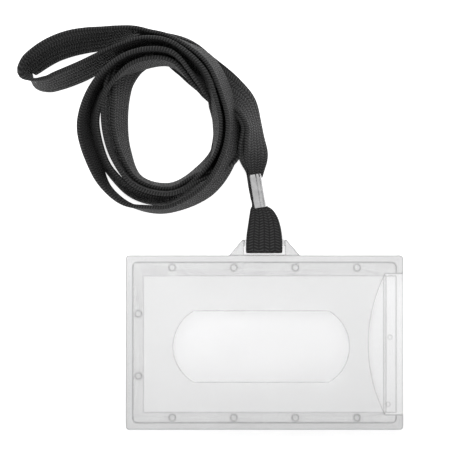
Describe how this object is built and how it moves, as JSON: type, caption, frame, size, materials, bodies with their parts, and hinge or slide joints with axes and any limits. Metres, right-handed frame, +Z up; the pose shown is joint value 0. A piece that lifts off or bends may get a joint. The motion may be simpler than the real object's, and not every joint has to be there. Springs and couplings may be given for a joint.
{
  "type": "lanyard badge holder",
  "caption": "Rigid frosted card holder with an open window and thumb notch, hung by a crimped flat strap that lies in a loose coil.",
  "frame": {"origin": "middle of the back shell's flat back face, which lies on z = 0", "axes": "+X along the holder's long side, towards the side where the card goes in; +Y towards the tab and the strap; +Z up through the front shell"},
  "size_m": [0.1431, 0.1531, 0.0185],
  "materials": {
    "frosted_back": "translucent frosted polystyrene",
    "frosted_front": "translucent frosted polystyrene, lightly scratched",
    "webbing": "flat tubular woven polyester with a herringbone weave",
    "crimp_metal": "bright nickel-plated steel"
  },
  "bodies": {
    "lanyard": {"bar_loop": "webbing", "crimp_sleeve": "crimp_metal", "neck_end_near": "webbing", "neck_end_far": "webbing", "neck_coil": "webbing", "neck_tail": "webbing"},
    "holder": {"back_shell": "frosted_back", "front_shell": "frosted_front"}
  },
  "joints": [
    {"name": "holder_swing", "type": "hinge", "parent": "lanyard", "child": "holder", "pos_m": [0, 0.0374, 0.003], "axis": [-1, 0, 0], "range_deg": [0, 110]}
  ]
}
